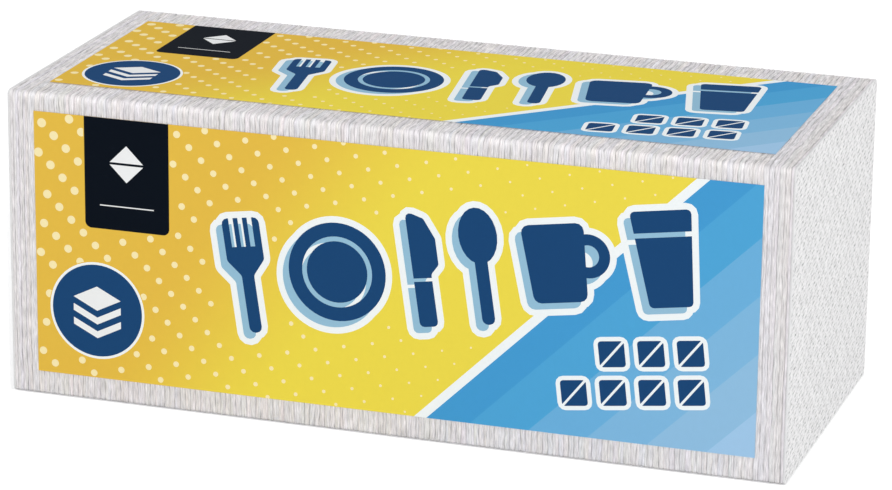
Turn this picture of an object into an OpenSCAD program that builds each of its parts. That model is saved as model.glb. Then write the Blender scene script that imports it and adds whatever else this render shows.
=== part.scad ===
// Pack of quarter-folded paper napkins, stacked on edge and wrapped in clear film.
// The film is printed on its front and on its top.
// X runs along the stack, the front faces -Y and Z is up, in millimetres.
// The origin is the middle of the base.

/* [Napkins] */
// Number of napkins in the stack
napkin_count = 300; // [280:5:340]
// Room that one napkin takes along the stack, four layers of tissue
napkin_pitch = 1.23; // [1.15:0.01:1.4]
// Air between two napkins
napkin_air = 0.04; // [0.02:0.01:0.08]
// Width of a folded napkin, half of the open sheet
fold_w = 158.5; // [150:0.5:170]
// Height of a folded napkin, half of the open sheet
fold_h = 144.5; // [140:0.5:155]
// How far a folded edge is rounded back from its tip
fold_nose = 0.35; // [0.1:0.05:0.45]
// Radius to which the film pulls the napkins' corners
corner_r = 2; // [1:0.5:5]

/* [Film] */
// Thickness of the film
film_t = 0.05; // [0.03:0.01:0.1]
// Gap between the napkins and the film
wrap_gap = 0.1; // [0.05:0.05:0.3]
// Height at which the film's lap seam starts on the back
seam_z = 30; // [15:1:80]
// Width of the lap seam
seam_w = 15; // [8:1:30]

/* [Print panels] */
// Thickness of one layer of ink
ink_t = 0.04; // [0.02:0.01:0.06]
// Bare film at each end of both panels
end_margin = 14.65; // [10:0.05:20]
// Bare film above the front panel
front_margin = 8.8; // [7.5:0.1:12]
// Height of the front panel
front_h = 124.4; // [120:0.1:126]
// Bare film behind the top panel
top_margin = 21.5; // [18:0.1:24]
// Depth of the top panel
top_h = 118.6; // [117:0.1:121]

/* [Stripe and bands] */
// Slope of the stripe and of the bands
stripe_angle = 44.3; // [42:0.1:47]
// Width of the stripe
stripe_w = 4.1; // [2:0.1:6]
// From the panel's right end to the stripe, along the panel's upper edge
stripe_inset = 26.8; // [22:0.1:32]
// Width of the first band, beside the stripe, for each millimetre of the panel's height
first_band_share = 0.115; // [0.08:0.005:0.15]
// Width of each later band, for each millimetre of the panel's height
later_band_share = 0.153; // [0.14:0.001:0.17]

/* [Dots] */
// Diameter of the dot nearest the panel's upper left corner
dot_d = 4.4; // [3:0.1:4.8]
// Diameter of the smallest dot
dot_d_min = 1; // [0.8:0.1:1.5]
// How much thinner a dot is for each millimetre to the right
dot_fade_x = 0.0145; // [0.01:0.0005:0.02]
// How much thinner a dot is for each millimetre downward
dot_fade_y = 0.006; // [0.004:0.0005:0.012]
// Clear space between a dot and whatever is printed beside it
dot_clear = 0.4; // [0.2:0.1:1]

/* [Tab and badge] */
// Width of the dark tab
tab_w = 41; // [36:0.5:44]
// Length of the dark tab
tab_h = 52.4; // [45:0.1:56]
// From the panel's left end to the tab
tab_x = 24.6; // [20:0.1:28]
// Radius of the tab's lower corners
tab_r = 3; // [1:0.5:6]
// Radius of the round badge, with its rim
badge_r = 23.2; // [20:0.1:24]
// Width of the badge's pale rim
badge_rim = 1.2; // [0.8:0.1:3]
// From the panel's left end to the badge's centre
badge_x = 29.8; // [27:0.1:34]
// From the panel's upper edge down to the badge's centre
badge_drop = 92; // [86:0.5:93]

/* [Table setting] */
// Height of the fork, knife and spoon
cutlery_h = 54; // [46:1:58]
// Diameter of the plate
plate_d = 46; // [40:1:50]
// Height of the mug
mug_h = 36; // [30:1:42]
// Height of the glass
glass_h = 44; // [36:1:50]
// Space between two pictures
picture_gap = 11; // [9:0.5:12]
// From the panel's left end to the middle of the row
row_x = 203; // [198:1:208]
// From the panel's upper edge down to the middle of the row
row_drop = 52; // [50:1:56]
// Upward slope of the row
row_tilt = 8.5; // [5:0.5:10]
// Width of the white border round each picture
border_w = 3; // [2:0.1:3.5]
// Side of a small folded napkin
small_side = 12; // [9:0.5:13]
// Space between two small napkins
small_gap = 6; // [5:0.5:7]

/* [Hidden] */

napkin_t = napkin_pitch - napkin_air;
stack_l = napkin_count * napkin_pitch;
wrap_shell = wrap_gap + film_t;
wrap_l = stack_l + 2 * wrap_shell;
wrap_w = fold_w + 2 * wrap_shell;
wrap_h = fold_h + 2 * wrap_shell;
panel_w = wrap_l - 2 * end_margin;

// Steps in a quarter turn of a napkin's corner, of the film's and of a picture's
napkin_steps = 2;
film_steps = 6;
picture_steps = 3;

// Two steps of the slanted grid on which the dots sit, and its first dot
dot_step = [5.83, -5.5];
dot_row = [1.85, 14];
dot_start = [3.9, -5.3];

// The light-blue shadow falls below and to the left of each picture
shadow_shift = [-2.8, -3.2];

// Each picture's kind and width, from left to right
cutlery_w = cutlery_h / 3;
mug_w = mug_h * 1.1;
glass_w = glass_h * 0.64;
PICTURES = [["fork", cutlery_w, cutlery_h], ["plate", plate_d, plate_d],
    ["knife", cutlery_w * 0.8, cutlery_h], ["spoon", cutlery_w, cutlery_h],
    ["mug", mug_w, mug_h], ["glass", glass_w, glass_h]];

// Small napkins: middle of the row from the panel's right end and upper edge, and their number
SMALL_ROWS = [[-48, -82, 3], [-56, -101, 4]];
small_tilt = 7;
small_border = 2;

// Thickness of the fold lines and slots left open in the pictures
slot_w = 2.2;

// Points of a quarter circle that starts at angle a0
function quarter(r, a0, steps) =
    [for (i = [0:steps]) r * [cos(a0 + 90 * i / steps), sin(a0 + 90 * i / steps)]];

// Rectangle about the origin with rounded corners
function round_box(w, h, r, steps) = [
    for (k = [0:3])
        let (sx = (k == 0 || k == 3) ? 1 : -1, sy = k < 2 ? 1 : -1)
            for (p = quarter(r, 90 * k, steps)) p + [sx * (w / 2 - r), sy * (h / 2 - r)]
];

// Left-hand normal, and the cross product's size
function left_of(v) = [-v[1], v[0]];
function turn(a, b) = a[0] * b[1] - a[1] * b[0];
function unit(v) = v / norm(v);
function step_in(pts, i) = unit(pts[i] - pts[(i + len(pts) - 1) % len(pts)]);
function step_out(pts, i) = unit(pts[(i + 1) % len(pts)] - pts[i]);

// Outline, counter-clockwise, moved outward by g
function grown(pts, g) = [
    for (i = [0:len(pts) - 1])
        let (na = -left_of(step_in(pts, i)), nb = -left_of(step_out(pts, i)))
            pts[i] + g * (na + nb) / (1 + na * nb)
];

// Outline with arcs at its corners: radius r + g outside and r - g inside
function eased(pts, r, g) = [
    for (i = [0:len(pts) - 1])
        let (a = step_in(pts, i), b = step_out(pts, i), side = sign(turn(a, b)),
            bend = acos(a * b), rad = side > 0 ? r + g : max(r - g, 0.3),
            start = pts[i] - rad * tan(bend / 2) * a)
            for (k = [0:picture_steps])
                let (w = bend * k / picture_steps)
                    start + rad * (sin(w) * a + side * (1 - cos(w)) * left_of(a))
];

module outline(pts, r, g) polygon(eased(grown(pts, g), r, g));

// A folded napkin's section: both ends square but the one at -Y, where the fold is
module fold_section(w) {
    polygon([[-napkin_t / 2, w / 2], [-napkin_t / 2, fold_nose - w / 2],
        [fold_nose - napkin_t / 2, -w / 2], [napkin_t / 2 - fold_nose, -w / 2],
        [napkin_t / 2, fold_nose - w / 2], [napkin_t / 2, w / 2]]);
}

// One napkin: four layers pressed into one leaf, its two folded edges to the front and the top
module napkin() {
    intersection() {
        translate([0, 0, -fold_h]) linear_extrude(2 * fold_h) fold_section(fold_w);
        rotate([-90, 0, 0]) translate([0, 0, -fold_w]) linear_extrude(2 * fold_w) fold_section(fold_h);
        rotate([90, 0, 90]) translate([0, 0, -napkin_t / 2]) linear_extrude(napkin_t)
            polygon(round_box(fold_w, fold_h, corner_r, napkin_steps));
    }
}

module napkins() {
    color("whitesmoke")
        for (i = [0:napkin_count - 1])
            translate([(i - (napkin_count - 1) / 2) * napkin_pitch, 0, wrap_h / 2]) napkin();
}

// A length of the film's section, at a distance in from its outer face
module film_body(inset) {
    length = wrap_l - 2 * inset;
    rotate([90, 0, 90]) translate([0, wrap_h / 2, -length / 2]) linear_extrude(length)
        polygon(round_box(wrap_w - 2 * inset, wrap_h - 2 * inset, corner_r + wrap_shell - inset,
            film_steps));
}

module film_wrap() {
    color("aliceblue", 0.25) {
        difference() {
            film_body(0);
            film_body(film_t);
        }
        translate([-wrap_l / 2, wrap_w / 2, seam_z]) cube([wrap_l, film_t, seam_w]);
    }
}

// Prints a flat shape on both panels. Its origin is the panel's upper left corner,
// and level counts the layers of ink beneath it.
module printed(level) {
    translate([-panel_w / 2, -wrap_w / 2 - level * ink_t, wrap_h - front_margin]) rotate([90, 0, 0])
        linear_extrude(ink_t) {
            $panel_h = front_h;
            children();
        }
    translate([-panel_w / 2, wrap_w / 2 - top_margin, wrap_h + level * ink_t])
        linear_extrude(ink_t) {
            $panel_h = top_h;
            children();
        }
}

// Part of the panel between two lines that run along the stripe, each given by its
// distance below the stripe's middle
module slanted_field(from, to) {
    reach = panel_w + front_h;
    intersection() {
        translate([0, -$panel_h]) square([panel_w, $panel_h]);
        translate([panel_w - stripe_inset, 0]) rotate(stripe_angle)
            translate([-reach, -to]) square([2 * reach, to - from]);
    }
}

module print_yellow_field() {
    color("gold") printed(0) slanted_field(-2 * panel_w, -stripe_w / 2);
}

module print_white_stripe() {
    color("white") printed(0) slanted_field(-stripe_w / 2, stripe_w / 2);
}

// The bands pale toward the lower right corner, and the last fills it
module band_field(n) {
    first_end = stripe_w / 2 + first_band_share * $panel_h;
    start = n == 1 ? stripe_w / 2 : first_end + (n - 2) * later_band_share * $panel_h;
    end = n == 6 ? 2 * panel_w : first_end + (n - 1) * later_band_share * $panel_h;
    slanted_field(start, end);
}

module blue_band(n, tone) color(tone) printed(0) band_field(n);

// Distance of a point above the stripe's middle
function above_stripe(p) = turn([cos(stripe_angle), sin(stripe_angle)], p - [panel_w - stripe_inset, 0]);

// Where picture i stands, in its row's own direction
function row_length() = len(PICTURES) * picture_gap - picture_gap + widths_to(len(PICTURES));
function widths_to(i) = i == 0 ? 0 : PICTURES[i - 1][1] + widths_to(i - 1);
function picture_x(i) = widths_to(i) + i * picture_gap + PICTURES[i][1] / 2 - row_length() / 2;

// A point seen from the middle of the row, along and across it
function in_row(p) =
    let (d = p - [row_x, -row_drop])
        [d * [cos(row_tilt), sin(row_tilt)], d * left_of([cos(row_tilt), sin(row_tilt)])];

// Distance from a point to a box with the opposite corners a and b, a below and left of b
function box_gap(p, a, b) = norm([max(a[0] - p[0], p[0] - b[0], 0), max(a[1] - p[1], p[1] - b[1], 0)]);

// Distance from a point to the nearest panel edge, tab or badge
function edge_gap(p) = min(p[0], -p[1], p[1] + $panel_h,
    box_gap(p, [tab_x, -tab_h], [tab_x + tab_w, 0]) - dot_clear,
    norm(p - [badge_x, -badge_drop]) - badge_r - dot_clear);

// Distance from a point to the nearest picture or its shadow. The plate is round, the others boxes.
function picture_gap_at(p) =
    let (q = in_row(p - shadow_shift / 2), pad = border_w + norm(shadow_shift) / 2 + dot_clear)
        min([for (i = [0:len(PICTURES) - 1])
            let (half = [PICTURES[i][1], PICTURES[i][2]] / 2, middle = [picture_x(i), 0])
                (PICTURES[i][0] == "plate" ? norm(q - middle) - half[0]
                    : box_gap(q, middle - half, middle + half)) - pad]);

// True for a dot of radius r at p that is whole, or that an edge cuts no deeper than near its middle
function dot_shown(p, r) = edge_gap(p) > r / 4 && picture_gap_at(p) > r
    && above_stripe(p) > stripe_w / 2 + dot_clear + r;

// Where dots may be printed, but for the pictures
module dot_field() {
    difference() {
        translate([0, -$panel_h]) square([panel_w, $panel_h]);
        translate([tab_x - dot_clear, -tab_h - dot_clear])
            square([tab_w + 2 * dot_clear, tab_h + 2 * dot_clear]);
        translate([badge_x, -badge_drop]) circle(badge_r + dot_clear, $fn = 96);
    }
}

module print_cream_dots() {
    rows = ceil(front_h / dot_row[1]);
    steps = ceil(panel_w / dot_step[0]);
    color("lemonchiffon") printed(1)
        for (i = [0:steps])
            for (j = [-rows:steps]) {
                p = dot_start + i * dot_step + j * dot_row;
                r = max(dot_d_min, dot_d - dot_fade_x * p[0] + dot_fade_y * p[1]) / 2;
                if (dot_shown(p, r)) {
                    if (edge_gap(p) > r)
                        translate(p) circle(r, $fn = 24);
                    else
                        intersection() {
                            translate(p) circle(r, $fn = 24);
                            dot_field();
                        }
                }
            }
}

module tab_place() translate([tab_x, -tab_h]) children();

module print_dark_tab() {
    color("#101620") printed(1) tab_place() difference() {
        square([tab_w, tab_h]);
        for (m = [0, 1])
            translate([m * tab_w, 0]) mirror([m, 0]) difference() {
                square(tab_r);
                translate([tab_r, tab_r]) circle(tab_r, $fn = 32);
            }
    }
}

// The pictures of the table setting stand about their own middle, grown by g. Their
// slots and rings are open only in the picture itself, where g is 0.
module fork(g) {
    w = cutlery_w / 2;
    h = cutlery_h / 2;
    handle = w / 3;
    tines = h * 0.5;
    difference() {
        outline([[-handle, -h], [handle, -h], [handle, 0], [w, w * 0.8], [w, h], [-w, h], [-w, w * 0.8],
            [-handle, 0]], handle * 0.9, g);
        if (g == 0)
            for (k = [-1:1])
                translate([k * w / 2 - slot_w / 2, tines]) square([slot_w, h]);
    }
}

module knife(g) {
    w = cutlery_w * 0.4;
    h = cutlery_h / 2;
    handle = w * 0.75;
    difference() {
        outline([[-handle, -h], [handle * 0.6, -h], [handle * 0.6, -h * 0.1], [w, h * 0.05], [w, h * 0.5],
            [w * 0.4, h * 0.85], [-handle, h]], w * 0.3, g);
        if (g == 0)
            translate([-w, -h * 0.22]) square([2 * w, slot_w * 0.7]);
    }
}

module spoon(g) {
    bowl_w = cutlery_w / 2;
    bowl_h = cutlery_h * 0.24;
    h = cutlery_h / 2;
    handle = bowl_w / 3;
    neck = h - 1.6 * bowl_h;
    outline([[-handle, -h], [handle, -h], [handle, neck], [-handle, neck]], handle * 0.9, g);
    translate([0, h - bowl_h])
        polygon([for (a = [0:15:345]) [(bowl_w + g) * cos(a), (bowl_h + g) * sin(a)]]);
}

module plate(g) {
    r = plate_d / 2;
    difference() {
        circle(r + g, $fn = 64);
        if (g == 0)
            difference() {
                circle(r * 0.72, $fn = 64);
                circle(r * 0.72 - slot_w, $fn = 64);
            }
    }
}

module mug(g) {
    body_w = mug_w * 0.74;
    h = mug_h / 2;
    handle_r = mug_h * 0.28;
    translate([-mug_w / 2, 0]) outline([[body_w * 0.08, -h], [body_w * 0.92, -h], [body_w, h], [0, h]],
        h * 0.2, g);
    translate([mug_w / 2 - handle_r, h * 0.15]) difference() {
        circle(handle_r + g, $fn = 40);
        circle(handle_r * 0.5 - min(g, handle_r * 0.3), $fn = 40);
    }
}

module glass(g) {
    w = glass_w / 2;
    h = glass_h / 2;
    difference() {
        outline([[-w * 0.7, -h], [w * 0.7, -h], [w, h], [-w, h]], w * 0.15, g);
        if (g == 0)
            translate([-w, h * 0.45]) square([2 * w, slot_w]);
    }
}

module picture(kind, g) {
    if (kind == "fork") fork(g);
    if (kind == "plate") plate(g);
    if (kind == "knife") knife(g);
    if (kind == "spoon") spoon(g);
    if (kind == "mug") mug(g);
    if (kind == "glass") glass(g);
}

// The row of pictures, each grown by g
module picture_row(g) {
    translate([row_x, -row_drop]) rotate(row_tilt)
        for (i = [0:len(PICTURES) - 1])
            translate([picture_x(i), 0]) picture(PICTURES[i][0], g);
}

// A small napkin folded corner to corner, grown by g
module small_napkin(g) {
    s = small_side / 2;
    difference() {
        outline([[-s, -s], [s, -s], [s, s], [-s, s]], s * 0.25, g);
        if (g == 0)
            rotate(45) square([3 * small_side, slot_w / 2], center = true);
    }
}

module small_rows(g) {
    for (row = SMALL_ROWS)
        translate([panel_w + row[0], row[1]]) rotate(small_tilt)
            for (i = [0:row[2] - 1])
                translate([(i - (row[2] - 1) / 2) * (small_side + small_gap), 0]) small_napkin(g);
}

module badge_place() translate([badge_x, -badge_drop]) children();

module print_white_borders() {
    color("white") printed(1) {
        picture_row(border_w);
        translate(shadow_shift) picture_row(border_w);
        small_rows(small_border);
        badge_place() circle(badge_r, $fn = 96);
    }
}

module print_sky_shadows() {
    color("lightskyblue") printed(2) difference() {
        translate(shadow_shift) picture_row(0);
        picture_row(0);
    }
}

module print_navy_pictures() {
    color("midnightblue") printed(2) {
        picture_row(0);
        small_rows(0);
        badge_place() circle(badge_r - badge_rim, $fn = 96);
    }
}

// Three leaves of a pile, seen from a corner: a rhombus with two chevrons under it
module pile_mark(w) {
    rise = w / 4;
    leaf = w / 7;
    polygon([[0, 0], [w / 2, rise], [0, 2 * rise], [-w / 2, rise]]);
    for (k = [1:2])
        translate([0, -k * 2 * leaf])
            polygon([[0, 0], [w / 2, rise], [w / 2, rise + leaf], [0, leaf], [-w / 2, rise + leaf],
                [-w / 2, rise]]);
}

module print_white_marks() {
    mark_w = badge_r;
    line_w = tab_w * 0.64;
    color("white") {
        printed(3) badge_place() pile_mark(mark_w);
        printed(2) tab_place() {
            translate([tab_w / 2, tab_h * 0.6]) difference() {
                rotate(45) square(tab_w * 0.3, center = true);
                square([tab_w, slot_w / 2], center = true);
            }
            translate([(tab_w - line_w) / 2, tab_h * 0.21]) square([line_w, 0.5]);
        }
    }
}

napkins();
film_wrap();
print_yellow_field();
print_white_stripe();
blue_band(1, "#469BD2");  // print_blue_band_1
blue_band(2, "#50A5D7");  // print_blue_band_2
blue_band(3, "#6DB0DC");  // print_blue_band_3
blue_band(4, "#80B8DE");  // print_blue_band_4
blue_band(5, "#91BEDF");  // print_blue_band_5
blue_band(6, "#A0C8E8");  // print_blue_band_6
print_cream_dots();
print_dark_tab();
print_white_borders();
print_sky_shadows();
print_navy_pictures();
print_white_marks();
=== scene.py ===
import math

import bpy
import numpy as np
from mathutils import Matrix, Vector


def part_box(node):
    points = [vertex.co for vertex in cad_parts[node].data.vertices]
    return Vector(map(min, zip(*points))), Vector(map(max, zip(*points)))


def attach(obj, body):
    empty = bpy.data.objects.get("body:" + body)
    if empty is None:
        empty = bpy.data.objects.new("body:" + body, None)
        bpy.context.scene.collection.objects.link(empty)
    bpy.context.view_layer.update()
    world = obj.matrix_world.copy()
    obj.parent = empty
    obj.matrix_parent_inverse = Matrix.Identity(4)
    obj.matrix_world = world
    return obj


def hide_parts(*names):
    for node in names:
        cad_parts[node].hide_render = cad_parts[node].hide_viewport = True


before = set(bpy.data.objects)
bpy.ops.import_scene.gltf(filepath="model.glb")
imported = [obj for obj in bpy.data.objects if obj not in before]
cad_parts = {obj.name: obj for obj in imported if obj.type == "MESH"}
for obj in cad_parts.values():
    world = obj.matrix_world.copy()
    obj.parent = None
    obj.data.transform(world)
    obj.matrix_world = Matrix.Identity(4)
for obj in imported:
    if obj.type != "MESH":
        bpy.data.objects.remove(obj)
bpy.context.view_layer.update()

# A block of quarter-folded paper napkins on edge, in clear printed film.
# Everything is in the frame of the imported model: X along the stack, the printed front
# at -Y, Z up, and the origin in the middle of the base. Lengths are in metres, and MM
# turns millimetres into them.

MM = 0.001

# Napkins in the stack. The two end ones are embossed, and the rest fill four meshes.
NAPKINS = 300
MIDDLE_PIECES = 4
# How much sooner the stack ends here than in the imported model. The film stands off it there.
LEFT_ROOM = 1.6 * MM
RIGHT_ROOM = 0.6 * MM

STACK_LOW, STACK_HIGH = (np.array(corner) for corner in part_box("napkins"))
STACK_LOW[0] += LEFT_ROOM
STACK_HIGH[0] -= RIGHT_ROOM
STACK_SIZE = STACK_HIGH - STACK_LOW
STACK_MID = (STACK_HIGH + STACK_LOW) / 2
PITCH = STACK_SIZE[0] / NAPKINS

# The printed panels: the height of the front one's upper edge, how far back the top one
# reaches, and a height that parts the two
FRONT_PANEL_TOP = 136.0 * MM
TOP_PANEL_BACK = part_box("print_yellow_field")[1][1]
TOP_PANEL_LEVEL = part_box("film_wrap")[1][2] - 1 * MM


# Colours

def srgb(text):
    """A colour written as RRGGBB, in linear light."""
    parts = [int(text[i:i + 2], 16) / 255 for i in (0, 2, 4)]
    return tuple(((c + 0.055) / 1.055) ** 2.4 if c > 0.04045 else c / 12.92 for c in parts)


TISSUE = srgb("F7F6F6")
# Light that has been between the folds comes back darker and a little warmer
FOLD_HUE = np.array([0.958, 0.929, 0.932])
CLEAR_FILM = (0.95, 0.97, 1.0)
WHITE = (1, 1, 1)
AMBER = srgb("EBC14C")
LEMON = srgb("F3DF50")
INKS = {
    "print_white_stripe": srgb("F8FDFE"),
    "print_blue_band_1": srgb("489FD7"),
    "print_blue_band_2": srgb("52A9DC"),
    "print_blue_band_3": srgb("6FB4E1"),
    "print_blue_band_4": srgb("83BCE3"),
    "print_blue_band_5": srgb("94C3E5"),
    "print_blue_band_6": srgb("A4CCED"),
    "print_cream_dots": srgb("FFF0B9"),
    "print_dark_tab": srgb("10161F"),
    "print_white_borders": srgb("F8FDFE"),
    "print_sky_shadows": srgb("98C3DC"),
    "print_navy_pictures": srgb("1F4978"),
    "print_white_marks": srgb("F4F6F7"),
}


# Materials

class Nodes:
    """The nodes of a material, or of the world, added one at a time and wired by keyword."""

    def __init__(self, owner):
        self.owner = owner
        owner.use_nodes = True
        self.tree = owner.node_tree
        self.tree.nodes.clear()

    def add(self, kind, settings=None, **inputs):
        """A new node: settings are its own properties, and inputs are values or links."""
        node = self.tree.nodes.new(kind)
        for key, value in (settings or {}).items():
            setattr(node, key, value)
        for key, value in inputs.items():
            self.put(node, key, value)
        return node

    def put(self, node, key, value):
        """Sets or links an input, found by its name or, as in_2, by its number."""
        by_number = key.startswith("in_")
        socket = node.inputs[int(key[3:]) if by_number else key.replace("_", " ")]
        if isinstance(value, bpy.types.NodeSocket):
            self.tree.links.new(value, socket)
        elif isinstance(value, tuple) and len(value) == 3 and socket.type == "RGBA":
            socket.default_value = (*value, 1)
        else:
            socket.default_value = value

    def math(self, operation, a, b):
        return self.add("ShaderNodeMath", {"operation": operation}, in_0=a, in_1=b).outputs[0]

    def place(self):
        """Where a point is on the object, in metres."""
        return self.add("ShaderNodeTexCoord").outputs["Object"]

    def split(self, vector):
        return self.add("ShaderNodeSeparateXYZ", Vector=vector).outputs

    def join(self, x, y, z):
        return self.add("ShaderNodeCombineXYZ", in_0=x, in_1=y, in_2=z).outputs[0]

    def noise(self, scale, detail, stretch=(1, 1, 1)):
        """Noise over the object's own place, from 0 to 1. scale is in features a metre."""
        place = self.add("ShaderNodeMapping", Vector=self.place(), Scale=stretch).outputs[0]
        return self.add("ShaderNodeTexNoise", Vector=place, Scale=scale, Detail=detail).outputs[0]

    def spread(self, value, low, high):
        """A 0 to 1 value carried to the range low to high."""
        return self.add("ShaderNodeMapRange", in_0=value, in_3=low, in_4=high).outputs[0]

    def ramp(self, value, start, end):
        """0 up to start and 1 from end on, with a smooth climb between."""
        smoothstep = {"interpolation_type": "SMOOTHSTEP"}
        return self.add("ShaderNodeMapRange", smoothstep, in_0=value, in_1=start, in_2=end).outputs[0]

    def mix(self, share, a, b):
        """A number on its way from a to b."""
        return self.add("ShaderNodeMix", in_0=share, in_2=a, in_3=b).outputs[0]

    def mix_colours(self, share, a, b):
        """A colour on its way from a to b."""
        return self.add("ShaderNodeMix", {"data_type": "RGBA"}, in_0=share, in_6=a, in_7=b).outputs[2]

    def times(self, colour, factor):
        """A colour made lighter or darker by a factor."""
        return self.add("ShaderNodeVectorMath", {"operation": "SCALE"}, in_0=colour, in_3=factor).outputs[0]

    def product(self, a, b):
        """Two colours multiplied."""
        return self.add("ShaderNodeVectorMath", {"operation": "MULTIPLY"}, in_0=a, in_1=b).outputs[0]

    def bump(self, height, depth):
        return self.add("ShaderNodeBump", Height=height, Distance=depth, Strength=1.0).outputs[0]

    def seen(self):
        """1 for what the camera sees, straight, in a gloss or through glass, and 0 for light alone."""
        rays = self.add("ShaderNodeLightPath").outputs
        second_hand = self.math("MAXIMUM", rays["Is Glossy Ray"], rays["Is Transmission Ray"])
        return self.math("MAXIMUM", rays["Is Camera Ray"], second_hand)

    def surface(self, **inputs):
        """Ends a material in one Principled shader."""
        shader = self.add("ShaderNodeBsdfPrincipled", **inputs)
        self.add("ShaderNodeOutputMaterial", Surface=shader.outputs[0])
        return self.owner


# Fine lines round a napkin's edge, in features a metre across it, and how many of them
# fit along it in the room of one across
LAYER_LINES = 1900
LINES_ALONG = 0.1


def tissue_material(name, layers):
    """Soft tissue: each napkin's own tint, which carries painted shade, and on the folds a painted
    highlight, cloudy pulp, and a fine felted surface.

    layers is how strongly each napkin's layers show as fine lines round its edge."""
    n = Nodes(bpy.data.materials.new(name))
    tint, _, _, across = n.add("ShaderNodeAttribute", {"attribute_name": "tint"}).outputs
    _, y, z = n.split(n.place())
    place = n.join(across, n.math("MULTIPLY", y, LINES_ALONG), n.math("MULTIPLY", z, LINES_ALONG))
    lines = n.add("ShaderNodeTexNoise", Vector=place, Scale=LAYER_LINES, Detail=1.0).outputs[0]
    clouds = n.spread(n.noise(scale=260, detail=4), 0.97, 1.03)
    pulp = n.math("MULTIPLY", clouds, n.spread(lines, 1 - layers, 1 + layers))
    fibres = n.noise(scale=2600, detail=3, stretch=(1, 0.5, 0.5))
    return n.surface(Base_Color=n.times(n.product(tint, TISSUE), pulp), Roughness=0.92,
                     Specular_IOR_Level=0.2, Normal=n.bump(fibres, 0.12 * MM))


def ink_surface(n, colour):
    """Ink on film: an even tone with a faint mottle, slight ripples and hardly any sheen."""
    mottle = n.spread(n.noise(scale=420, detail=3), 0.985, 1.015)
    ripples = n.noise(scale=60, detail=1, stretch=(6, 0.4, 0.4))
    return n.surface(Base_Color=n.times(colour, mottle), Roughness=0.5, Specular_IOR_Level=0.004,
                     Normal=n.bump(ripples, 0.05 * MM))


def ink_material(name, colour):
    """One even ink."""
    return ink_surface(Nodes(bpy.data.materials.new(name)), colour)


# The yellow field's change of tone. Along a panel's upper edge it runs from FADE_START to
# FADE_END, and below that edge it lies to the left, by FADE_SLOPE times the drop.
FADE_START = -62 * MM
FADE_END = 37 * MM
FADE_SLOPE = 0.7


def yellow_material(name):
    """The yellow field: amber at its upper left, lemon past a slanted change of tone."""
    n = Nodes(bpy.data.materials.new(name))
    x, y, z = n.split(n.place())
    # The drop below the upper edge goes down on the front panel, and forward on the top one
    front_drop = n.math("SUBTRACT", FRONT_PANEL_TOP, z)
    top_drop = n.math("SUBTRACT", TOP_PANEL_BACK, y)
    drop = n.mix(n.math("GREATER_THAN", z, TOP_PANEL_LEVEL), front_drop, top_drop)
    across = n.math("ADD", x, n.math("MULTIPLY", drop, FADE_SLOPE))
    return ink_surface(n, n.mix_colours(n.ramp(across, FADE_START, FADE_END), AMBER, LEMON))


def film_material(name):
    """Clear film: nearly nothing but a thin gloss, with a few soft ripples."""
    n = Nodes(bpy.data.materials.new(name))
    ripples = n.noise(scale=45, detail=2, stretch=(3, 1, 1))
    return n.surface(Base_Color=CLEAR_FILM, Roughness=0.18, Alpha=0.07, Normal=n.bump(ripples, 0.2 * MM))


def dress(node, material):
    """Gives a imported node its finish."""
    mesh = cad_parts[node].data
    mesh.materials.clear()
    mesh.materials.append(material)


# Meshes

def mesh_piece(name, verts, faces, material, tint, across, stands_for):
    """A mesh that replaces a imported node.

    Each of its points has a tint, and its place across the napkins in across."""
    mesh = bpy.data.meshes.new(name)
    mesh.from_pydata(verts.tolist(), [], faces)
    layer = mesh.color_attributes.new("tint", "FLOAT_COLOR", "POINT")
    layer.data.foreach_set("color", np.column_stack([tint, across]).ravel())
    mesh.materials.append(material)
    mesh.shade_smooth()
    mesh.update()
    piece = bpy.data.objects.new(name, mesh)
    bpy.context.scene.collection.objects.link(piece)
    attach(piece, "root")
    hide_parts(stands_for)


def smooth(values, steps, axis=-1):
    """Random values blurred along one closed axis, back at their first spread."""
    reach = np.arange(-int(3 * steps) - 1, int(3 * steps) + 2)
    kernel = np.exp(-0.5 * (reach / steps) ** 2)
    total = sum(weight * np.roll(values, shift, axis) for weight, shift in zip(kernel, reach))
    return total / np.sqrt((kernel ** 2).sum())


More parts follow.
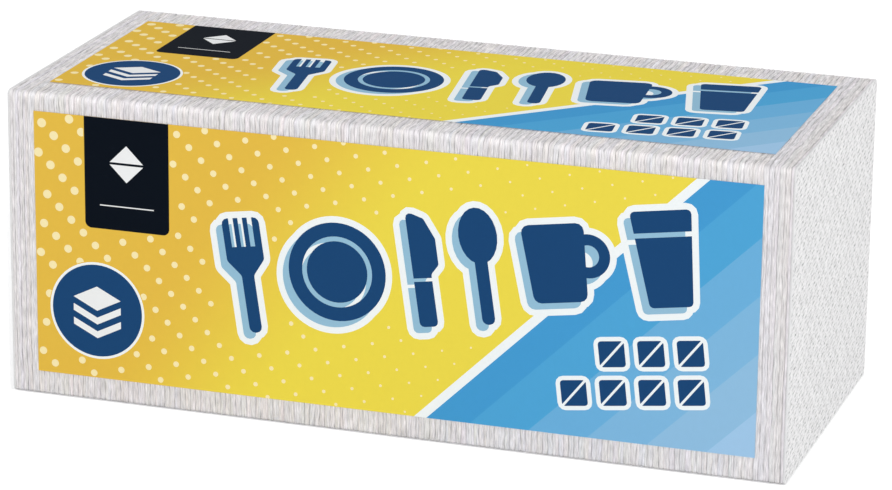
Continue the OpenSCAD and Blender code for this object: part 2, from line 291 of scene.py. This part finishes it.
class Outline:
    """Points round a napkin's edge, seen along the stack.

    A point lies at base + radius * pull, where radius is that of the napkin's
    corners, and out is the way it faces. soft is 1 on the two folded edges, at the
    front and on top, and 0 on the two open ones. deep scales the painted shade of a
    groove there, loose tells how unevenly the napkins lie, and shade is painted shade
    on the tone, darker where the stack turns under on to the floor."""

    # The four sides in turn, from the top's back end, each with its number of steps.
    # Each starts with a corner.
    SIDES = [("top", 96), ("front", 96), ("base", 18), ("back", 22)]
    CORNER_STEPS = 4
    CORNERS = [np.array(corner) for corner in ((1, 1), (-1, 1), (-1, -1), (1, -1))]
    CORNER_SOFT = (0.5, 1.0, 0.5, 0.0)
    CORNER_LOOSE = (0.35, 1.0, 0.15, 0.15)
    # How much stronger the painted groove shade is on top, and how much painted shade darkens the edge
    # underneath
    TOP_GROOVE_SHADE = 1.75
    UNDER_PAINTED_SHADE = 0.45

    def __init__(self, width, height):
        base, pull, out, soft, deep, loose = [], [], [], [], [], []
        half = np.array([width, height]) / 2
        for k, (side, steps) in enumerate(self.SIDES):
            following = (k + 1) % 4
            for step in range(self.CORNER_STEPS + 1):
                angle = math.radians(90 * k + 90 * step / self.CORNER_STEPS)
                way = np.array([math.cos(angle), math.sin(angle)])
                base.append(self.CORNERS[k] * half)
                pull.append(way - self.CORNERS[k])
                out.append(way)
                soft.append(self.CORNER_SOFT[k])
                deep.append(1.0)
                loose.append(self.CORNER_LOOSE[k])
            for step in range(1, steps):
                share = step / steps
                here, there = (1 - share) * self.CORNERS[k], share * self.CORNERS[following]
                base.append((here + there) * half)
                pull.append(way - here - there)
                out.append(way)
                soft.append(1.0 if side in ("top", "front") else 0.0)
                deep.append(self.TOP_GROOVE_SHADE if side == "top" else 1.0)
                loose.append((1 - share) * self.CORNER_LOOSE[k] + share * self.CORNER_LOOSE[following])
        self.base, self.pull, self.out = (np.array(rows) for rows in (base, pull, out))
        self.soft, self.deep, self.loose = (np.array(row) for row in (soft, deep, loose))
        # Painted shade where the edge turns under on to the floor: it starts some 20 degrees below level,
        # and is nearly 1 straight down
        turned_under = np.clip(-1.4 * self.out[:, 1] - 0.5, 0, 1)
        self.shade = 1 - self.UNDER_PAINTED_SHADE * turned_under
        self.count = len(base)
        # The point in the middle of the upper front corner
        self.front_corner = int(np.argmax((self.out * [-1, 1]).sum(axis=1)))


# How a leaf's edge rounds across its thickness: place across it, and share of the
# nose's depth that it lies below the tip
EDGE_PROFILE = [(-1.0, 1.0), (-0.5, 0.16), (0.5, 0.16), (1.0, 1.0)]
FOLD_NOSE = 0.38 * MM
OPEN_NOSE = 0.22 * MM
# Depth and painted shade of the groove between two napkins of one clump, against one between clumps
INNER_GROOVE = 0.15
# How much of the groove's painted shade the nose's tip gets, against the groove beside it
TIP_PAINTED_SHADE = 0.4


class Stack:
    """Where every napkin's edge runs: along the stack, and in from the outline.

    The sizes named here are in millimetres, and what they lead to is in metres. Each
    ripple runs along an edge. Its size comes first, and then its length in steps of the
    outline."""

    SEED = 12
    # Numbers of napkins in a clump, to pick from
    CLUMPS = [1, 3] + [2] * 14
    # A leaf's thickness, before the stack is fitted to its length, and its spread as a share
    LEAF = 1.18
    LEAF_SPREAD = 0.04
    # Air between two clumps, from least to most, and between two napkins of one clump
    CLUMP_GAP = (0.02, 0.08)
    LEAF_GAP = 0.01
    # How the grooves open and close along their length, the most that they open, and the painted shade of an
    # open groove
    OPENING = ((0.4, 0.7), (0.3, 2))
    WIDEST = 2.2
    GROOVE_PAINTED_SHADE = 0.15
    # How the borders waver: on their own, and then along with their neighbours, where the
    # third number is how many napkins that is blurred over
    WAVER = ((0.08, 0.7), (0.05, 2))
    SHARED_WAVER = ((0.08, 1.4, 1.5), (0.12, 3, 2.5))
    # Napkins over which the stack's ends grow straight
    CALM_ENDS = 3
    # How far in from the outline: the most for a clump, the spread for a napkin, its
    # ripples, and the share of it all that stays where the napkins lie even
    CLUMP_INSET = 0.14
    OWN_INSET = 0.05
    EDGE_INSET = ((0.09, 1.0), (0.03, 5))
    EVEN_INSET = 0.4
    # The smallest radius of a corner, and the most that a clump and a napkin add to it
    CORNER = 2.0
    CLUMP_CORNER = 1.1
    OWN_CORNER = 0.4
    # Tones: the spread for a napkin, the most that a clump loses, and the painted shade that its last one
    # takes beside the wider groove
    OWN_TONE = 0.008
    CLUMP_TONE = 0.015
    PARTED_SHADE = 0.02
    # Spread of the hue for a napkin and for a clump, and how much of it is red, green and blue
    OWN_HUE = 0.010
    CLUMP_HUE = 0.007
    HUE_SHARES = (1, 0.3, 1.4)
    # Clouds along the edges: a napkin's own ripples, and the size and lengths of a clump's
    SHORT_CLOUD = (0.02, 0.7)
    LONG_CLOUD = (0.01, 3)
    CLUMP_CLOUD = 0.016
    CLUMP_CLOUD_STEPS = (1.2, 3)
    # How much a painted highlight brightens the upper front corner, and in steps of the outline the
    # highlight's middle, the square of its width, and its reach
    CORNER_HIGHLIGHT = 0.14
    HIGHLIGHT_MIDDLE = 0.7
    HIGHLIGHT_SQUARE = 3
    HIGHLIGHT_REACH = 8

    def __init__(self, outline):
        random = np.random.default_rng(self.SEED)
        n, m = NAPKINS, outline.count

        def ripple(steps):
            return smooth(random.normal(size=(n, m)), steps)

        def rippled(start, *ripples):
            return sum((size * ripple(steps) for size, steps in ripples), start)

        # Napkins stick together in clumps, mostly pairs, and the end ones to their neighbours
        clump = np.repeat(np.arange(n), random.choice(self.CLUMPS, n))[:n]
        parted = np.diff(clump, append=n) > 0
        parted[[0, n - 2]] = False
        gap = np.where(parted, random.uniform(*self.CLUMP_GAP, n), self.LEAF_GAP)
        end = np.cumsum(self.LEAF * (1 + self.LEAF_SPREAD * random.normal(size=n)) + gap)
        end *= STACK_SIZE[0] / MM / end[-1]

        rank = np.arange(n)
        calm = np.clip(np.minimum(rank, n - 1 - rank) / self.CALM_ENDS, 0, 1)[:, None]
        waver = rippled(0, *self.WAVER)
        for size, steps, neighbours in self.SHARED_WAVER:
            waver += size * smooth(ripple(steps), neighbours, 0)
        border = end[:, None] + calm * waver
        opening = np.clip(rippled(1, *self.OPENING), 0, self.WIDEST)
        parting = gap[:, None] / 2 * opening
        before = np.vstack([np.zeros((1, m)), (border + parting)[:-1]])
        self.low = before * MM + STACK_LOW[0]
        self.high = (border - parting) * MM + STACK_LOW[0]
        self.groove = np.where(parted, 1, INNER_GROOVE)
        # Painted shade in the grooves, the more the wider they open, and stronger on top
        self.painted_groove_shade = self.groove[:, None] * self.GROOVE_PAINTED_SHADE * opening * outline.deep

        clump_inset = random.uniform(0, self.CLUMP_INSET, n)[clump][:, None]
        inset = clump_inset + np.abs(random.normal(0, self.OWN_INSET, (n, 1)))
        for size, steps in self.EDGE_INSET:
            inset = inset + size * np.abs(ripple(steps))
        self.inset = inset * MM * (self.EVEN_INSET + (1 - self.EVEN_INSET) * outline.loose)
        spare = random.uniform(0, self.CLUMP_CORNER, n)[clump] + random.uniform(0, self.OWN_CORNER, n)
        self.radius = (self.CORNER + spare[:, None] * outline.loose) * MM

        shade = 1 + self.OWN_TONE * random.normal(size=n)
        # The last napkin of a clump gets painted shade beside the wider groove
        shade = shade - random.uniform(0, self.CLUMP_TONE, n)[clump] - self.PARTED_SHADE * parted
        own_hue = self.OWN_HUE * random.normal(size=(n, 3))
        hue = (own_hue + self.CLUMP_HUE * random.normal(size=(n, 3))[clump]) * self.HUE_SHARES
        cloud = rippled(1, self.SHORT_CLOUD)
        cloud += self.CLUMP_CLOUD * sum(ripple(steps) for steps in self.CLUMP_CLOUD_STEPS)[clump]
        cloud = rippled(cloud, self.LONG_CLOUD)
        # A painted highlight brightens the upper front corner
        steps = np.arange(-self.HIGHLIGHT_REACH, self.HIGHLIGHT_REACH + 1)
        glow = np.exp(-(steps - self.HIGHLIGHT_MIDDLE) ** 2 / self.HIGHLIGHT_SQUARE)
        light = np.ones(m)
        light[outline.front_corner + steps] += self.CORNER_HIGHLIGHT * glow
        # Painted shade where the stack turns under on to the floor
        light *= outline.shade
        # Each point's tint: the napkin's tone and hue and its clouds, with the painted highlight and shade
        self.tint = (shade[:, None] * (FOLD_HUE + hue))[:, None, :] * (cloud * light)[:, :, None]

    def grooves(self, i):
        """Depth and painted shade of the grooves below and above napkin i along the stack."""
        return [(self.groove[k], self.painted_groove_shade[k][:, None]) for k in (i - 1, i)]


def ring_faces(start, rings, count):
    """Quads between rings of points that follow one another."""
    step = np.arange(count)
    after = (step + 1) % count
    faces = []
    for ring in range(rings - 1):
        low = start + ring * count
        high = low + count
        faces += np.column_stack([low + step, low + after, high + after, high + step]).tolist()
    return faces


def napkin_mesh(outline, stack, first, last):
    """A run of napkins, each a closed leaf with rounded edges: points, faces, and tint and
    place across for each point."""
    verts, faces, tints, places = [], [], [], []
    m, rings = outline.count, len(EDGE_PROFILE)
    nose = FOLD_NOSE * outline.soft + OPEN_NOSE * (1 - outline.soft)
    for i in range(first, last):
        start = len(verts) * m
        edge = outline.base + stack.radius[i][:, None] * outline.pull - stack.inset[i][:, None] * outline.out
        for across, depth in EDGE_PROFILE:
            groove, painted_groove_shade = stack.grooves(i)[int(across > 0)]
            yz = edge - (depth * groove * nose)[:, None] * outline.out
            x = ((1 - across) * stack.low[i] + (1 + across) * stack.high[i]) / 2
            verts.append(np.column_stack([x, yz[:, 0] + STACK_MID[1], yz[:, 1] + STACK_MID[2]]))
            # The groove's rings take its full painted shade, and the nose's tip a share of it
            tints.append(stack.tint[i] * (1 - painted_groove_shade * (1 if depth == 1 else TIP_PAINTED_SHADE)))
            places.append(np.full(m, (i + (1 + across) / 2) * PITCH))
        faces += ring_faces(start, rings, m)
        faces.append(list(range(start + m - 1, start - 1, -1)))
        faces.append(list(range(start + (rings - 1) * m, start + rings * m)))
    return np.vstack(verts), faces, np.vstack(tints), np.concatenate(places)


# The end napkins' embossing: a pair of short dashes, one above the other, at each point
# of a diamond lattice, EMBOSS_STEP apart across and up. They rise to the back.
EMBOSS_STEP = np.array([9.14, 9.0]) * MM
EMBOSS_DASHES = np.array([(0, -1.125), (0, 1.125)]) * MM
EMBOSS_RISE = 0.17
EMBOSS_SIZE = np.array([3.9, 0.85]) * MM
EMBOSS_DEPTH = 0.35 * MM
# The least that a point is pressed, as a share of that depth
EMBOSS_LEAST = 0.8
# Mesh steps in each EMBOSS_STEP
EMBOSS_GRID = (8, 24)

# An end napkin's corners, its thickness, its plain rim, how much its face swells, and the
# room between it and the stack's end
SHEET_CORNER = 2.2 * MM
SHEET_THICK = 1.15 * MM
SHEET_RIM = 0.3 * MM
SHEET_SWELL = 0.05 * MM
SHEET_ROOM = 0.02 * MM
SHEET_SEED = 40
# How far its swell and its crepe are blurred, in steps of the mesh across and up. The
# crepe is a fine grain less half of a coarse one.
SWELL_STEPS = (9, 9)
FINE_STEPS = (0.5, 0.45)
COARSE_STEPS = (1.4, 1.2)
# Tones of its edge, rim and face, the face's lightest, what crepe changes, and the painted shade that
# embossing adds in the dents
EDGE_TONE = 0.87
RIM_TONE = 0.95
FACE_TONE = 1.08
LIGHTEST_FACE = 1.07
CREPE_TONE = 0.31
PRESSED_SHADE = 0.56


def emboss(y, z):
    """How deep the embossing is at a place on an end napkin, from 0 to 1."""
    depth = np.zeros_like(y)
    for dash_y, dash_z in EMBOSS_DASHES:
        s, t = (y - dash_y) / EMBOSS_STEP[0], (z - dash_z) / EMBOSS_STEP[1]
        u, v = s + t, s - t
        du, dv = u - np.round(u), v - np.round(v)
        across, up = (du + dv) / 2 * EMBOSS_STEP[0], (du - dv) / 2 * EMBOSS_STEP[1]
        reach = np.hypot(across / EMBOSS_SIZE[0], (up - EMBOSS_RISE * across) / EMBOSS_SIZE[1])
        depth += np.cos(np.pi / 2 * np.clip(reach, 0, 1)) ** 2
    return depth


def blurred(grain, steps):
    """Random values over an end napkin's face, blurred across it and up it."""
    return smooth(smooth(grain, steps[0], 0), steps[1], 1)


def crepe(random, shape):
    """Fine mottling that evens out over a few millimetres."""
    grain = random.normal(size=shape)
    return blurred(grain, FINE_STEPS) - blurred(grain, COARSE_STEPS) / 2


def sheet_grid(half, core):
    """Points over an end napkin's face, with the grid's square corners drawn in to round ones."""
    counts = [int(round(2 * h / s * steps)) for h, s, steps in zip(half, EMBOSS_STEP, EMBOSS_GRID)]
    y, z = np.meshgrid(*(np.linspace(-h, h, c + 1) for h, c in zip(half, counts)), indexing="ij")
    over_y, over_z = (np.clip(np.abs(v) - c, 0, None) for v, c in zip((y, z), core))
    draw = np.maximum(over_y, over_z) / np.maximum(np.hypot(over_y, over_z), 1e-9)
    draw = np.where((over_y > 0) & (over_z > 0), draw, 1)
    y = np.sign(y) * (np.minimum(np.abs(y), core[0]) + over_y * draw)
    z = np.sign(z) * (np.minimum(np.abs(z), core[1]) + over_z * draw)
    return y, z


def end_napkin_mesh(side):
    """An end napkin, as for a run of them. side is 1 at +X and -1 at -X."""
    random = np.random.default_rng(SHEET_SEED + side)
    half = STACK_SIZE[1:] / 2 - FOLD_NOSE
    core = half - SHEET_CORNER
    y, z = sheet_grid(half, core)
    face_x = side * (STACK_SIZE[0] / 2 - SHEET_ROOM)
    rim = np.minimum(half[0] - np.abs(y), half[1] - np.abs(z)) < SHEET_RIM
    pressed = np.where(rim, 0, emboss(y, z) * random.uniform(EMBOSS_LEAST, 1.0, y.shape))
    swell = np.where(rim, 0, np.abs(blurred(random.normal(size=y.shape), SWELL_STEPS)))
    x = face_x - side * (EMBOSS_DEPTH * pressed + SHEET_SWELL * swell)
    verts = np.column_stack([x.ravel(), y.ravel(), z.ravel()])
    index = np.arange(y.size).reshape(y.shape)
    quads = np.stack([index[:-1, :-1], index[1:, :-1], index[1:, 1:], index[:-1, 1:]], -1).reshape(-1, 4)
    # The edge turns round from the face's rim to the inner side, which is flat
    loop = np.concatenate([index[:-1, 0], index[-1, :-1], index[:0:-1, -1], index[0, :0:-1]])
    if side < 0:
        quads = quads[:, ::-1]
        loop = loop[::-1]
    rim_yz = verts[loop, 1:]
    way = rim_yz - np.clip(rim_yz, -core, core)
    way /= np.linalg.norm(way, axis=1)[:, None]
    start = len(verts)
    count = len(loop)
    rings = EDGE_PROFILE[-2::-1]
    for across, depth in rings:
        yz = rim_yz + (1 - depth) * FOLD_NOSE * way
        ring_x = np.full(count, face_x - side * (1 - across) * SHEET_THICK / 2)
        verts = np.vstack([verts, np.column_stack([ring_x, yz])])
    after = (np.arange(count) + 1) % count
    inner = start + np.arange(count)
    faces = quads.tolist()
    faces += np.column_stack([loop[after], loop, inner, inner[after]]).tolist()
    faces += [face[::-1] for face in ring_faces(start, len(rings), count)]
    faces.append(list(range(len(verts) - 1, len(verts) - count - 1, -1)))
    face_tone = np.clip(FACE_TONE + CREPE_TONE * crepe(random, y.shape), 0, LIGHTEST_FACE)
    tint = np.full(len(verts), EDGE_TONE)
    # The embossed dents get painted shade, the more the deeper they are pressed
    tint[:start] = np.where(rim, RIM_TONE, face_tone - PRESSED_SHADE * pressed).ravel()
    verts += STACK_MID
    return verts, faces, np.repeat(tint[:, None], 3, axis=1), verts[:, 0]


def make_napkins(folds, sheet):
    """The whole stack: folds is the napkins' material, and sheet that of the end ones."""
    outline = Outline(STACK_SIZE[1], STACK_SIZE[2])
    stack = Stack(outline)
    cuts = np.linspace(1, NAPKINS - 1, MIDDLE_PIECES + 1).round().astype(int)
    for number, (first, last) in enumerate(zip(cuts[:-1], cuts[1:]), 1):
        verts, faces, tint, across = napkin_mesh(outline, stack, first, last)
        mesh_piece(f"napkins_{number}", verts, faces, folds, tint, across, "napkins")
    for name, side in (("end_napkin_left", -1), ("end_napkin_right", 1)):
        verts, faces, tint, across = end_napkin_mesh(side)
        mesh_piece(name, verts, faces, sheet, tint, across, "napkins")


# The room

# How far the floor reaches from the pack, its tone for light alone, and its own glow
FLOOR_REACH = 6.0
FLOOR_TONE = 0.85
FLOOR_GLOW = 0.4
# Strength of the light that comes from all round
ROOM_LIGHT = 0.62
# Each lamp's place, the length of its side, and its watts
KEY_LAMP = ((2.75, -2.13, 1.96), 1.95, 57.8)
FILL_LAMP = ((-1.6, -1.8, 1.3), 2.0, 9)


def make_floor():
    """A white floor that keeps the pack's shadow and fades into the white behind it."""
    reach = FLOOR_REACH
    mesh = bpy.data.meshes.new("floor")
    corners = [(-reach, -reach, 0), (reach, -reach, 0), (reach, reach, 0), (-reach, reach, 0)]
    mesh.from_pydata(corners, [], [(0, 1, 2, 3)])
    n = Nodes(bpy.data.materials.new("floor"))
    seen = n.seen()
    tone = n.spread(seen, FLOOR_TONE, 1.0)
    lit = n.add("ShaderNodeBsdfDiffuse", Color=n.join(tone, tone, tone))
    glow = n.add("ShaderNodeEmission", Color=WHITE, Strength=n.math("MULTIPLY", seen, FLOOR_GLOW))
    both = n.add("ShaderNodeAddShader", in_0=lit.outputs[0], in_1=glow.outputs[0])
    n.add("ShaderNodeOutputMaterial", Surface=both.outputs[0])
    mesh.materials.append(n.owner)
    floor = bpy.data.objects.new("floor", mesh)
    bpy.context.scene.collection.objects.link(floor)


def make_world():
    """White all round. What the camera sees of it is pure white, and its light is softer."""
    world = bpy.data.worlds.new("studio")
    bpy.context.scene.world = world
    n = Nodes(world)
    background = n.add("ShaderNodeBackground", Color=WHITE, Strength=n.spread(n.seen(), ROOM_LIGHT, 1.0))
    n.add("ShaderNodeOutputWorld", Surface=background.outputs[0])


def make_lamp(name, place, size, watts):
    """A soft square lamp that looks at the middle of the pack."""
    lamp = bpy.data.lights.new(name, "AREA")
    lamp.size = size
    lamp.energy = watts
    thing = bpy.data.objects.new(name, lamp)
    thing.location = place
    aim = Vector((0, 0, STACK_MID[2])) - Vector(place)
    thing.rotation_euler = aim.to_track_quat("-Z", "Y").to_euler()
    bpy.context.scene.collection.objects.link(thing)


def make_camera():
    """The photograph's camera, worked out from the straight edges of the pack."""
    azimuth, elevation, roll = (math.radians(a) for a in (18.019, 17.498, 0.651))
    distance = 1.887177
    target = Vector((0.0012, 0, 0.067349))
    focal_pixels, frame_pixels = 4077.214, 892
    level_reach = math.cos(elevation)
    back = Vector((math.sin(azimuth) * level_reach, -math.cos(azimuth) * level_reach, math.sin(elevation)))
    level = Vector((math.cos(azimuth), math.sin(azimuth), 0))
    upright = back.cross(level)
    right = math.cos(roll) * level + math.sin(roll) * upright
    up = math.cos(roll) * upright - math.sin(roll) * level
    data = bpy.data.cameras.new("camera")
    data.sensor_width = 36
    data.lens = focal_pixels * data.sensor_width / frame_pixels
    data.clip_start = 0.05
    data.clip_end = 50
    camera = bpy.data.objects.new("camera", data)
    turn = Matrix((right, up, back)).transposed().to_4x4()
    camera.matrix_world = Matrix.Translation(target + back * distance) @ turn
    bpy.context.scene.collection.objects.link(camera)
    bpy.context.scene.camera = camera


# The whole scene

make_camera()
make_world()
make_floor()
make_lamp("key", *KEY_LAMP)
make_lamp("fill", *FILL_LAMP)

make_napkins(tissue_material("tissue_folds", layers=0.5), tissue_material("tissue_sheet", layers=0.1))
dress("film_wrap", film_material("clear_film"))
for ink_node, ink_colour in INKS.items():
    dress(ink_node, ink_material(ink_node, ink_colour))
dress("print_yellow_field", yellow_material("print_yellow_field"))
# The plates of ink are thicker than real ink, so they cast no shadow beside them
for ink_node in (*INKS, "print_yellow_field"):
    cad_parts[ink_node].visible_shadow = False

scene = bpy.context.scene
scene.view_settings.view_transform = "Standard"
